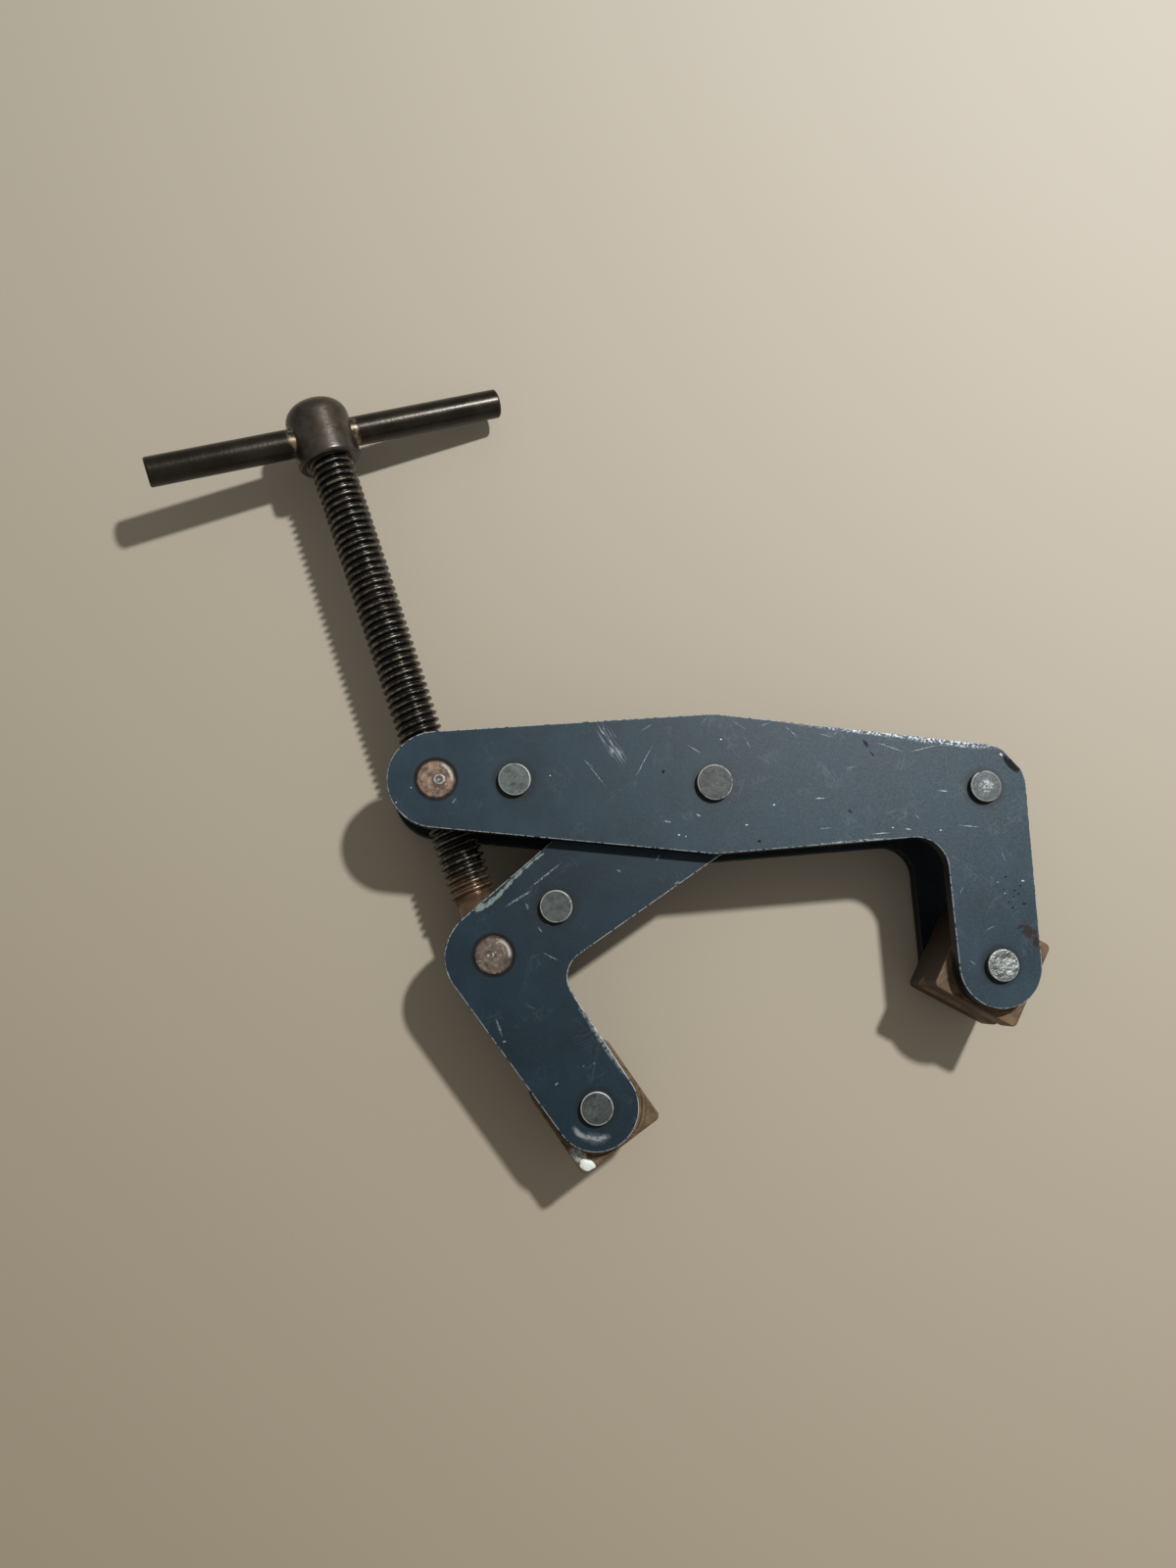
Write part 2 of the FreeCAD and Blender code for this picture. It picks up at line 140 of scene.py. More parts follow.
class Finish:
    """A material, with short ways to add its nodes. Its coordinates are in millimetres."""

    def __init__(self, name, roughness=0.5, metallic=0.0, coat=0.0, specular=0.5):
        self.material = bpy.data.materials.new(name)
        self.material.use_nodes = True
        self.tree = self.material.node_tree
        self.shader = self.tree.nodes["Principled BSDF"]
        self.shader.inputs["Roughness"].default_value = roughness
        self.shader.inputs["Metallic"].default_value = metallic
        self.shader.inputs["Coat Weight"].default_value = coat
        self.shader.inputs["Specular IOR Level"].default_value = specular
        self.shader.inputs["Coat Roughness"].default_value = 0.2
        here = self.node("TexCoord", out="Object")
        self.at = self.vector("SCALE", here, Scale=1 / MM)
        self.x = self.node("SeparateXYZ", None, {0: self.at}, "X")
        self.y = self.node("SeparateXYZ", None, {0: self.at}, "Y")
        self.flat = self.vector("MULTIPLY", self.at, (1, 1, 0))
        normal = self.node("NewGeometry", out="Normal")
        self.up = self.dot(normal, (0, 0, 1))

    def feed(self, socket, value):
        """Link a value to a socket, or set the socket to a plain number or colour."""
        if isinstance(value, Value):
            self.tree.links.new(value.socket, socket)
        else:
            socket.default_value = value

    def node(self, kind, settings=None, sockets=None, out=0):
        """Any node by its type, its settings and what its sockets are set to."""
        made = self.tree.nodes.new("ShaderNode" + kind)
        for name, value in (settings or {}).items():
            setattr(made, name, value)
        for name, value in (sockets or {}).items():
            self.feed(made.inputs[name], value)
        return Value(self, made.outputs[out])

    def vector(self, operation, *terms, out=0, **named):
        return self.node("VectorMath", {"operation": operation},
                         {**dict(enumerate(terms)), **named}, out)

    def dot(self, a, b):
        return self.vector("DOT_PRODUCT", a, b, out="Value")

    def from_axis(self, middle):
        """Distance in plan from an upright axis."""
        away = self.vector("SUBTRACT", self.flat, (middle.x, middle.y, 0))
        return self.vector("LENGTH", away, out="Value")

    def level(self, low, high):
        """1 where the surface faces straight up or down, 0 where it slopes more."""
        return self.up.step(low, high) + self.up.step(-low, -high)

    def upright(self, low, high):
        """1 where the surface stands upright, 0 where it slopes more."""
        return self.up.step(high, low) * self.up.step(-high, -low)

    def noise(self, size, detail=2.0, rough=0.5, at=None, shift=0.0):
        """Soft noise from 0 to 1 whose grains are about size across."""
        place = self.at if at is None else at
        if shift:
            place = self.vector("ADD", place, (shift, shift, shift))
        return self.node("TexNoise", None, {"Vector": place, "Scale": 1 / size,
                                            "Detail": detail, "Roughness": rough})

    def brushed(self, degrees, across, along, shift=0.0):
        """Noise drawn out into streaks that run at an angle in plan."""
        place = self.node("Mapping", {"vector_type": "TEXTURE"},
                          {"Vector": self.at, "Location": (shift, shift, shift),
                           "Rotation": (0, 0, math.radians(degrees)),
                           "Scale": (along, across, across)})
        return self.node("TexNoise", None, {"Vector": place, "Scale": 1.0, "Detail": 2.0,
                                            "Roughness": 0.5})

    def hairs(self, degrees, along, across, shift=0.0, width=0.02):
        """Thin wandering lines, 1 on the line, that run roughly at an angle in plan."""
        return abs(self.brushed(degrees, across, along, shift) - 0.5).step(width, 0.3 * width)

    def mark(self, x, y, long, wide, degrees=0.0, soft=0.5, at=None):
        """1 inside an ellipse in plan, fading to 0 at its rim."""
        turn = math.radians(degrees)
        place = self.vector("SUBTRACT", self.flat if at is None else at, (x, y, 0))
        along = self.dot(place, (math.cos(turn) / long, math.sin(turn) / long, 0))
        across = self.dot(place, (-math.sin(turn) / wide, math.cos(turn) / wide, 0))
        return (along * along + across * across).step(1, (1 - soft) ** 2)

    def marks(self, rows, **more):
        """The strongest of several marks."""
        total = self.mark(*rows[0], **more)
        for row in rows[1:]:
            total = total.most(self.mark(*row, **more))
        return total

    def ragged(self, size, reach):
        """Place in plan, shaken by noise, so that marks get uneven rims."""
        shake = self.node("TexNoise", None, {"Vector": self.at, "Scale": 1 / size,
                                             "Detail": 3.0}, "Color")
        shake = self.vector("SUBTRACT", shake, (0.5, 0.5, 0.5))
        shake = self.vector("MULTIPLY", shake, (reach, reach, 0))
        return self.vector("ADD", self.flat, shake)

    def blend(self, share, low, high):
        """Colour low where share is 0 and high where it is 1."""
        low, high = (c if isinstance(c, Value) else (*c, 1) for c in (low, high))
        return self.node("Mix", {"data_type": "RGBA"}, {0: share, 6: low, 7: high}, 2)

    def edges(self, radius, full=0.2):
        """Grows from 0 on flat faces to 1 on sharp edges."""
        bevel = self.node("Bevel", {"samples": BEVEL_SAMPLES}, {"Radius": radius * MM})
        normal = self.node("NewGeometry", out="Normal")
        return (1 - self.dot(bevel, normal)).step(0.0, full)

    def paint(self, colour, **sockets):
        """Feed the shader's colour, and its roughness or metal where they vary."""
        self.feed(self.shader.inputs["Base Color"], colour)
        for name, value in sockets.items():
            self.feed(self.shader.inputs[name], value)

    def bump(self, height, distance):
        """Height in plain numbers, distance in millimetres for a height of 1."""
        made = self.node("Bump", None, {"Height": height, "Distance": distance * MM})
        self.feed(self.shader.inputs["Normal"], made)


BARE_STEEL = (0.60, 0.63, 0.65)
# Near black, painted in as shade on the plate walls and round the trunnion holes
SHADE_BLACK = (0.003, 0.004, 0.005)
# Grease, also used as painted shade round the rivets
GREASE_AND_SHADE = (0.014, 0.013, 0.011)
RUST = (0.030, 0.017, 0.012)
PALE_PAINT = (0.21, 0.26, 0.235)

# Marks on the upper outer plate: x, y, half length, half width, degrees (0 if left out)
SCRATCHES_OUTER = [
    (9.7, -3.3, 4.4, 0.11, 62), (-0.5, -6.1, 4.2, 0.08, -51), (-1.6, -4.4, 1.6, 0.07, -40),
    (10.2, 3.5, 1.6, 0.09, 30), (20.1, -0.9, 1.9, 0.09, -31), (61.4, 0.3, 3.6, 0.09, -17.5),
    (68.8, 0.2, 4.1, 0.09, 14), (58.5, -17.8, 2.4, 0.13, 5), (64.5, -16.9, 0.8, 0.20, -5),
    (71.4, -17.0, 0.3, 0.24, 0), (81.0, -37.1, 1.0, 0.10, 24), (77.7, -16.1, 2.6, 0.10, -4),
    (72.4, -8.8, 1.6, 0.14, -3), (14.2, -15.9, 1.1, 0.15, -10), (20.7, -14.5, 0.6, 0.16, -30),
    (-28.8, -12.2, 0.9, 0.13, 60), (76.8, -44.1, 0.9, 0.12, -35), (46.1, -10.7, 1.3, 0.16, 5),
    (47.5, 2.6, 1.8, 0.08, -12), (40.5, 3.1, 2.6, 0.08, -42), (31.0, 1.0, 2.2, 0.07, -62),
    (52.8, -4.1, 1.6, 0.07, 10), (29.5, 4.4, 2.2, 0.08, -35), (34.8, 4.6, 1.7, 0.08, 20),
    (47.0, -16.9, 1.3, 0.11, 8), (66.5, -14.2, 1.2, 0.08, -50), (50.0, 3.2, 1.0, 0.10, 30),
    (22.3, 5.4, 1.4, 0.08, 50), (84.6, -22.5, 1.3, 0.08, -70), (75.2, -29.4, 1.1, 0.07, 65),
]
SPECKS_OUTER = [
    (85.3, -0.9, 0.5, 0.28, -47), (-37.4, -9.7, 0.18, 0.18), (-40.3, -12.7, 0.2, 0.2),
    (-9.6, -6.8, 0.2, 0.14), (88.4, -27.4, 0.42, 0.22), (83.0, -27.7, 0.14, 0.14),
    (30.6, -16.4, 0.36, 0.14), (25.6, 1.3, 0.22, 0.18), (36.4, -12.2, 0.3, 0.18),
    (61.2, -16.6, 0.26, 0.14), (16.6, -18.6, 0.28, 0.2), (18.0, -18.9, 0.16, 0.16),
    (84.4, -30.0, 0.16, 0.14),
]
RUST_OUTER = [
    (89.1, -37.9, 2.2, 1.5, -30), (56.2, 0.9, 1.3, 0.45, -62), (57.4, -1.2, 0.8, 0.3, -50),
    (52.3, -13.3, 0.5, 0.6, 0), (90.4, -39.6, 0.9, 1.6, 0), (87.2, -36.8, 1.2, 0.5, 25),
]
DARK_OUTER = [
    (87.3, -3.0, 2.9, 0.95, -47), (84.9, -26.7, 0.40, 0.30, 0), (88.4, -32.1, 0.45, 0.3, 0),
    (86.7, -29.3, 0.28, 0.28, 0), (33.2, -19.8, 0.40, 0.3, 0), (86.2, -30.6, 0.35, 0.25, 0),
    (87.4, -30.2, 0.25, 0.2, 0), (85.2, -31.8, 0.25, 0.2, 0), (13.6, -5.8, 0.5, 0.35, 30),
    (86.0, -33.0, 0.4, 0.3, 20), (84.2, -29.2, 0.2, 0.2, 0), (87.8, -28.6, 0.2, 0.16, 0),
]
SCUFF_FAN = (2.9, -0.2, 6.0, 2.0, -60)
WORN_EDGES_OUTER = [
    (62.0, 3.0, 25.0, 0.75, -5.2), (74.0, 1.7, 13.0, 1.2, -5.2), (53.0, -19.6, 12.0, 0.35, 5.2),
    (70.2, -35.0, 12.0, 0.3, -80), (92.0, -25.0, 18.0, 0.3, -89), (84.0, -53.6, 6.0, 0.4, 0),
]

# Marks on the upper inner plate
SCRATCHES_INNER = [
    (-19.3, -56.8, 2.3, 0.26, -70), (16.7, -28.0, 0.7, 0.3, 30), (4.7, -25.7, 0.5, 0.25, -40),
    (-13.9, -33.0, 0.8, 0.26, -72), (-11.3, -37.6, 0.9, 0.16, -45), (-10.2, -26.7, 4.8, 0.22, 39),
    (-15.6, -31.4, 3.7, 0.24, 32), (-9.1, -43.0, 2.0, 0.16, -26), (12.8, -22.9, 0.9, 0.25, 60),
    (-7.8, -67.8, 0.5, 0.24, 30), (-0.4, -63.9, 0.32, 0.28, 0), (-2.5, -64.4, 0.22, 0.2, 0),
    (-18.2, -59.6, 0.35, 0.25, 10), (-9.9, -36.6, 0.8, 0.1, -35), (-12.9, -53.0, 0.9, 0.08, -20),
]
PAINT_INNER = [
    (-23.2, -33.3, 1.5, 0.7, 30), (-21.3, -32.2, 1.9, 0.55, 44), (-19.5, -30.6, 1.7, 0.5, 52),
    (-17.7, -28.6, 1.6, 0.45, 50), (-15.8, -26.6, 1.6, 0.4, 46), (-13.6, -24.6, 1.6, 0.32, 42),
    (-11.6, -23.0, 1.4, 0.28, 38),
]
TIP_SCUFF = (-0.4, -78.3, 3.4, 1.3, -8)
WORN_EDGE_INNER = (2.4, -60.2, 12.5, 1.4, -55)
GREY_SMEAR = (-3.2, -81.9, 2.5, 1.2, -35)       # on the swing jaw's pad

# Grease and painted shade round what goes through the plates
GREASE_AND_SHADE_HALF_SIZE = (5.3, 5.0)
TRUNNION_GAP_SHADE_RADIUS = 4.65
JOURNAL_RADIUS = 3.97


def tinted(colour, share):
    """A colour made darker or lighter."""
    return tuple(share * c for c in colour)


def lacquer(name, colour, worn, rubbed_edges, rivets, hole, top_marks=None):
    """Old blue-grey lacquer on stamped steel, rubbed bare along its edges, with painted shade on its
    walls and round its holes and rivets.

    worn is how far the flat faces grow lighter and bluer towards +X, partly rubbed wear and partly
    painted light towards the lamp. rubbed_edges is how far the edges are rubbed bare. hole is the
    middle of the hole that holds a trunnion. top_marks adds the marks that only the upper plate of a
    jaw has.
    """
    f = Finish(name, specular=0.22)
    at = f.ragged(1.2, 1.1)
    cloud = f.noise(11, 3, 0.6)
    grain = f.noise(0.3, 2, 0.8)
    face = f.up.step(0.80, 0.98)
    base = f.blend(cloud.step(0.3, 0.75), tinted(colour, 0.72), tinted(colour, 1.15))
    # Lighter, bluer lacquer towards +X and up the plate: partly rubbed wear, partly painted light,
    # brighter towards the lamp.
    rubbed = f.x.step(-25, 80) * (0.4 + 0.6 * f.y.step(-42, -12)) * worn + 0.05
    base = f.blend(rubbed * grain.step(0.2, 0.8), base, (0.088, 0.126, 0.162))
    spark = f.noise(0.35, 3, 0.8, shift=5).step(0.60, 0.74) * face
    base = f.blend(spark * (0.09 + 0.55 * rubbed), base, (0.24, 0.28, 0.30))
    lines = f.hairs(24, 16, 1.6, 7).most(f.hairs(-52, 14, 1.5, 53)).most(f.hairs(78, 18, 2.0, 91))
    hair = lines * f.noise(6, 2, 0.5, shift=17).step(0.54, 0.66) * face
    base = f.blend(hair * (0.04 + 0.26 * rubbed), base, (0.22, 0.25, 0.27))
    # Grease and painted shade: a dark ring round each rivet, partly old grease, partly the rivet
    # heads' shade painted onto the plate.
    grease_and_shade_halo = f.marks([(p.x, p.y, *GREASE_AND_SHADE_HALF_SIZE) for p in rivets], soft=0.35, at=at)
    base = f.blend(grease_and_shade_halo * 0.65, base, GREASE_AND_SHADE)
    # Painted shadow: a near-black ring on the plate round the trunnion hole, where the trunnion's
    # clearance falls in shade.
    gap_shade = f.mark(hole.x, hole.y, TRUNNION_GAP_SHADE_RADIUS, TRUNNION_GAP_SHADE_RADIUS, soft=0.08)
    base = f.blend(gap_shade * 0.95, base, SHADE_BLACK)
    height = 0.35 * grain + 0.4 * f.noise(1.7, 3, 0.6, shift=3)
    metal = spark * rubbed * 0.3
    gloss = 0.40 + 0.12 * cloud - 0.06 * grease_and_shade_halo
    if top_marks:
        base, height, metal, gloss = top_marks(f, at, face, base, height, metal, gloss)
    fillet = f.up.step(0.25, 0.5) * f.up.step(0.985, 0.92)
    below = f.up.step(-0.06, -0.3) * f.up.step(-0.995, -0.95)
    broken = f.noise(1.0, 4, 0.75, shift=71).step(0.40, 0.52)
    chipped = f.edges(0.6, full=0.15).step(0.3, 1.0)
    chipped = chipped * f.noise(0.8, 3, 0.75, shift=13).step(0.58, 0.64)
    bare = ((fillet + below) * broken).most(chipped) * rubbed_edges * (1 - gap_shade)
    base = f.blend(bare * 0.9, base, BARE_STEEL)
    # Painted shade: the plate's upright walls go near black, as they stand in shade between the
    # plates, except where edges are rubbed bare.
    shaded_side = f.upright(0.02, 0.1) * (1 - bare)
    base = f.blend(shaded_side * 0.95, base, SHADE_BLACK)
    f.paint(base, Roughness=gloss - 0.08 * bare, Metallic=metal.most(bare * 0.4))
    f.bump(height - 0.5 * bare, 0.03)
    return f.material


def outer_top(f, at, face, base, height, metal, gloss):
    """Marks of the upper outer plate."""
    broken = f.noise(0.5, 3, 0.75, shift=27).step(0.40, 0.56)
    scratch = f.marks(SCRATCHES_OUTER, soft=0.8, at=f.ragged(0.8, 0.3))
    scratch = scratch * face * (0.25 + 0.75 * broken)
    speck = f.marks(SPECKS_OUTER, soft=0.6) * face
    fan = f.mark(*SCUFF_FAN, soft=0.7, at=at) * f.hairs(-58, 8, 0.7, 3, width=0.04) * face
    grit = f.noise(0.5, 3, 0.8, shift=57).step(0.45, 0.62)
    frost = f.marks(WORN_EDGES_OUTER, soft=0.9, at=f.ragged(0.9, 0.6)) * grit
    bright = (scratch * 0.75).most(speck).most(fan * 0.5).most(frost)
    base = f.blend(bright * 0.85, base, (0.45, 0.48, 0.50))
    rust = f.marks(RUST_OUTER, soft=0.45, at=at) * f.noise(0.7, 3, 0.7, shift=23).step(0.3, 0.5)
    base = f.blend(rust * 0.85, base, RUST)
    dark = f.marks(DARK_OUTER, soft=0.4, at=at)
    base = f.blend(dark * 0.95, base, (0.004, 0.004, 0.004))
    height = height - 0.8 * scratch - 0.9 * dark + 0.5 * rust
    return base, height, metal.most(bright * 0.5), gloss + 0.3 * rust.most(dark) - 0.05 * bright


def inner_top(f, at, face, base, height, metal, gloss):
    """Marks of the upper inner plate: scuffs, a rubbed tip with a bright curve that is partly a
    painted highlight, and smears of pale paint.
    """
    broken = f.noise(0.4, 3, 0.8, shift=27).step(0.46, 0.58)
    scratch = f.marks(SCRATCHES_INNER, soft=0.75, at=f.ragged(0.7, 0.5))
    scratch = scratch * face * (0.2 + 0.8 * broken)
    tip = INNER_PAD_RIVET
    # A bright curve below the tip rivet: partly a scuff, partly a painted highlight where the dented
    # plate catches the lamp.
    off = f.from_axis(tip) + 1.5 * (f.noise(2.5, 3, 0.6, shift=75) - 0.5)
    scuff_and_highlight_arc = off.step(5.2, 5.9) * off.step(6.6, 6.0) * f.mark(tip.x - 1.2, tip.y - 5.4, 4.6, 2.4, -14)
    scuff_and_highlight_arc = scuff_and_highlight_arc * f.noise(1.1, 3, 0.7, shift=76).step(0.30, 0.52)
    patch = f.mark(*TIP_SCUFF, soft=0.8, at=at) * (0.25 + 0.75 * f.brushed(-8, 0.25, 3, 9))
    grit = f.noise(0.7, 3, 0.75, shift=57).step(0.36, 0.60)
    edge = f.mark(*WORN_EDGE_INNER, soft=0.9, at=f.ragged(1.4, 1.0)) * grit
    bright = ((scratch * 0.75).most(scuff_and_highlight_arc * 0.8).most(patch * 0.25) * face).most(edge * 0.9)
    base = f.blend(bright * 0.85, base, (0.42, 0.45, 0.47))
    smear = f.marks(PAINT_INNER, soft=0.35, at=f.ragged(0.6, 0.7))
    smear = smear * f.noise(0.5, 3, 0.7, shift=19).step(0.3, 0.45)
    base = f.blend(smear * 0.9, base, PALE_PAINT)
    height = height - 0.6 * scratch + 0.9 * smear
    return base, height, metal.most(bright * 0.45) * (1 - smear), gloss + 0.15 * smear


def rivet_steel(name, colour, dents, dent_size, shine=0.4, crumple=None):
    """Dull grey rivet steel, with painted shade on its upright walls where it meets the plate, and
    bright along its rim.

    dents is how deep its dents are and dent_size how wide. shine is how far it still looks like
    bare metal, crumple the middle of a small pale patch where the setting tool has marked it.
    """
    f = Finish(name, metallic=shine)
    swirl = f.noise(2.6, 3, 0.6, at=f.ragged(2.2, 2.6)).step(0.38, 0.62)
    mottle = f.noise(0.9, 4, 0.65, shift=5).step(0.3, 0.7)
    base = f.blend(0.5 * mottle + 0.5 * swirl, tinted(colour, 0.45), tinted(colour, 1.3))
    scored = f.brushed(40, 0.16, 1.6, 31).step(0.50, 0.68)
    base = f.blend(scored * 0.4, base, tinted(colour, 2.0))
    stain = f.noise(0.6, 3, 0.7, shift=9).step(0.58, 0.68)
    base = f.blend(stain * 0.5, base, (0.045, 0.038, 0.028))
    if crumple:
        spot = f.mark(crumple.x, crumple.y, 1.9, 1.6, 30, at=f.ragged(0.8, 0.9))
        spot = spot * f.noise(0.45, 3, 0.7, shift=7).step(0.46, 0.60)
        base = f.blend(spot * 0.7, base, (0.42, 0.45, 0.46))
    rim = f.up.step(0.25, 0.6) * f.up.step(0.99, 0.92)
    under = f.up.step(-0.25, -0.6) * f.up.step(-0.99, -0.92)
    bright = (rim + under) * f.noise(2.2, 3, 0.6, shift=29).step(0.30, 0.5)
    base = f.blend(bright * 0.8, base, (0.62, 0.63, 0.6))
    # Painted shade: the rivets' upright walls darkened, where they meet the plate in shade.
    shaded_wall = f.upright(0.1, 0.4)
    base = f.blend(shaded_wall * 0.75, base, (0.022, 0.020, 0.017))
    f.paint(base, Roughness=0.38 + 0.16 * mottle + 0.1 * stain)
    f.bump(f.noise(dent_size, 3, 0.6, shift=2), dents)
    return f.material


def trunnion_copper(name, colour, tarnish, middle, nub_shift, nub):
    """Copper plating gone brown and patchy on a trunnion.

    tarnish is the share of its colour that the dark patches keep. middle is its axis, nub the
    half length of a small grey spot in its end, and nub_shift how far that lies from the axis
    along X.
    """
    f = Finish(name, metallic=0.5)
    patches = f.noise(2.2, 4, 0.62)
    base = f.blend(patches.step(0.36, 0.64), tinted(colour, tarnish), tinted(colour, 1.15))
    spots = f.noise(0.9, 3, 0.7, shift=11).step(0.58, 0.68)
    base = f.blend(spots * 0.6, base, (0.030, 0.020, 0.014))
    pale = f.noise(0.8, 3, 0.75, shift=47).step(0.58, 0.68) * f.up.step(0.5, 0.9)
    base = f.blend(pale * 0.6, base, (0.46, 0.37, 0.30))
    off = f.from_axis(middle)
    swirls = (off * 3.2 + 16.0 * f.noise(3.2, 2, 0.5, shift=14)).sine()
    base = f.blend(swirls.step(0.45, 0.98) * 0.40, base, tinted(colour, 0.3))
    height = 1.1 * f.noise(1.3, 3, 0.6, shift=4) + 0.22 * swirls
    end = f.level(0.8, 0.95)
    shade = off.step(JOURNAL_RADIUS - 0.6, JOURNAL_RADIUS - 0.1) * end
    glint = off.step(JOURNAL_RADIUS - 1.3, JOURNAL_RADIUS - 0.9)
    glint = glint * off.step(JOURNAL_RADIUS - 0.35, JOURNAL_RADIUS - 0.7)
    glint = glint * f.mark(middle.x + 2.6, middle.y + 1.6, 2.6, 1.8, -50)
    base = f.blend(glint * 0.7, base, (0.62, 0.56, 0.50))
    base = f.blend(shade * 0.85, base, (0.014, 0.010, 0.008))
    uneven = f.ragged(0.5, 0.5)
    nub_x = middle.x + nub_shift
    rim = f.mark(nub_x, middle.y, nub + 0.4, 0.8 * nub + 0.3, soft=0.3, at=uneven) * end
    base = f.blend(rim * 0.75, base, (0.035, 0.028, 0.022))
    spot = f.mark(nub_x, middle.y, nub, 0.8 * nub, soft=0.4, at=uneven) * end
    base = f.blend(spot * 0.9, base, (0.43, 0.45, 0.44))
    # Painted shade: the trunnion's upright sides darkened, as they stand in shade between the plates.
    shaded_side = f.upright(0.2, 0.5)
    base = f.blend(shaded_side * 0.8, base, (0.030, 0.020, 0.014))
    f.paint(base, Roughness=0.40 + 0.2 * patches + 0.1 * spots)
    f.bump(height + 0.6 * spot, 0.05)
    return f.material


def pad_copper(name, centre, tip_radius, smear=None):
    """Brown copper plating, with dark arcs rubbed by the jaw tip that turns over it, and painted
    shade under the tip and on its sides.

    centre and tip_radius give the round tip's place, smear a mark of thin grey paint.
    """
    f = Finish(name, metallic=0.40)
    colour = (0.152, 0.093, 0.047)
    patches = f.noise(2.6, 4, 0.65)
    base = f.blend(patches.step(0.3, 0.7), tinted(colour, 0.55), tinted(colour, 1.2))
    streak = f.brushed(36, 0.35, 4, 5).step(0.56, 0.75)
    base = f.blend(streak * 0.4, base, (0.27, 0.185, 0.135))
    pits = f.noise(0.6, 3, 0.75, shift=49).step(0.58, 0.68)
    base = f.blend(pits * 0.6, base, (0.030, 0.020, 0.013))
    off = f.from_axis(centre) + 0.5 * (f.noise(5, 2, 0.5, shift=6) - 0.5)
    rings = (off * 7.5).sine().step(0.35, 0.95)
    band = off.step(tip_radius - 0.6, tip_radius) * off.step(tip_radius + 2.4, tip_radius + 1.2)
    flat_face = f.level(0.8, 0.97)
    rubbed = rings * band * flat_face * f.noise(2.2, 2, 0.6, shift=66).step(0.35, 0.55)
    base = f.blend(rubbed * 0.85, base, (0.020, 0.013, 0.009))
    # Painted shade: the pad top under and just beside the jaw tip darkened, where the plate shades
    # it.
    inside = off.step(tip_radius + 0.4, tip_radius - 0.2) * flat_face
    base = f.blend(inside * 0.7, base, (0.030, 0.022, 0.016))
    # Painted shade: the pad's upright sides darkened, as they fall in shade under the plates.
    shaded_side = f.upright(0.2, 0.5)
    base = f.blend(shaded_side * 0.85, base, (0.016, 0.008, 0.004))
    rim = f.edges(0.4)
    base = f.blend(rim * f.noise(1.0, shift=37).step(0.46, 0.6) * 0.55, base, (0.42, 0.29, 0.21))
    if smear:
        thin = f.mark(*smear, at=f.ragged(0.9, 1.0)) * f.noise(0.6, 3, 0.7, shift=91).step(0.36, 0.55)
        base = f.blend(thin, base, (0.38, 0.41, 0.39))
    f.paint(base, Roughness=0.42 + 0.2 * patches + 0.15 * rubbed)
    f.bump(0.5 * f.noise(0.7, 3, 0.6, shift=8) - 0.6 * rubbed, 0.06)
    return f.material


def oily_thread():
    """Dark oiled thread with glossy points on its crests, coppery near the swivel."""
    f = Finish("oily_thread", metallic=0.6, coat=0.3)
    from_swivel = f.vector("SUBTRACT", f.at, tuple(SWIVEL))
    along = f.dot(from_swivel, tuple(SCREW_WAY))
    axis_point = f.vector("SCALE", tuple(SCREW_WAY), Scale=along)
    off_axis = f.vector("SUBTRACT", from_swivel, axis_point)
    radius = f.vector("LENGTH", off_axis, out="Value")
    crest = radius.step(THREAD_RADIUS - 0.45, THREAD_RADIUS - 0.05)
    patches = f.noise(3.5, 4, 0.65)
    root = f.blend(patches, (0.006, 0.0055, 0.005), (0.016, 0.013, 0.010))
    worn = f.blend(f.noise(1.8, 3, 0.7, shift=12).step(0.42, 0.66), (0.026, 0.023, 0.019),
                   (0.21, 0.18, 0.14))
    base = f.blend(crest * 0.9, root, worn)
    rust = f.noise(6, 3, 0.7, shift=44).step(0.56, 0.70)
    base = f.blend(rust * 0.4, base, (0.050, 0.030, 0.018))
    coppery = along.step(19, 14.5) * f.noise(2.0, 3, 0.6, shift=51).step(0.3, 0.55)
    coppery = coppery.most(along.step(THREAD_START + 1.5, THREAD_START))
    base = f.blend(coppery * 0.75, base, (0.19, 0.115, 0.07))
    f.paint(base, Roughness=0.17 + 0.25 * patches + 0.1 * rust)
    f.bump(f.noise(0.5, 3, 0.6, shift=15), 0.05)
    return f.material


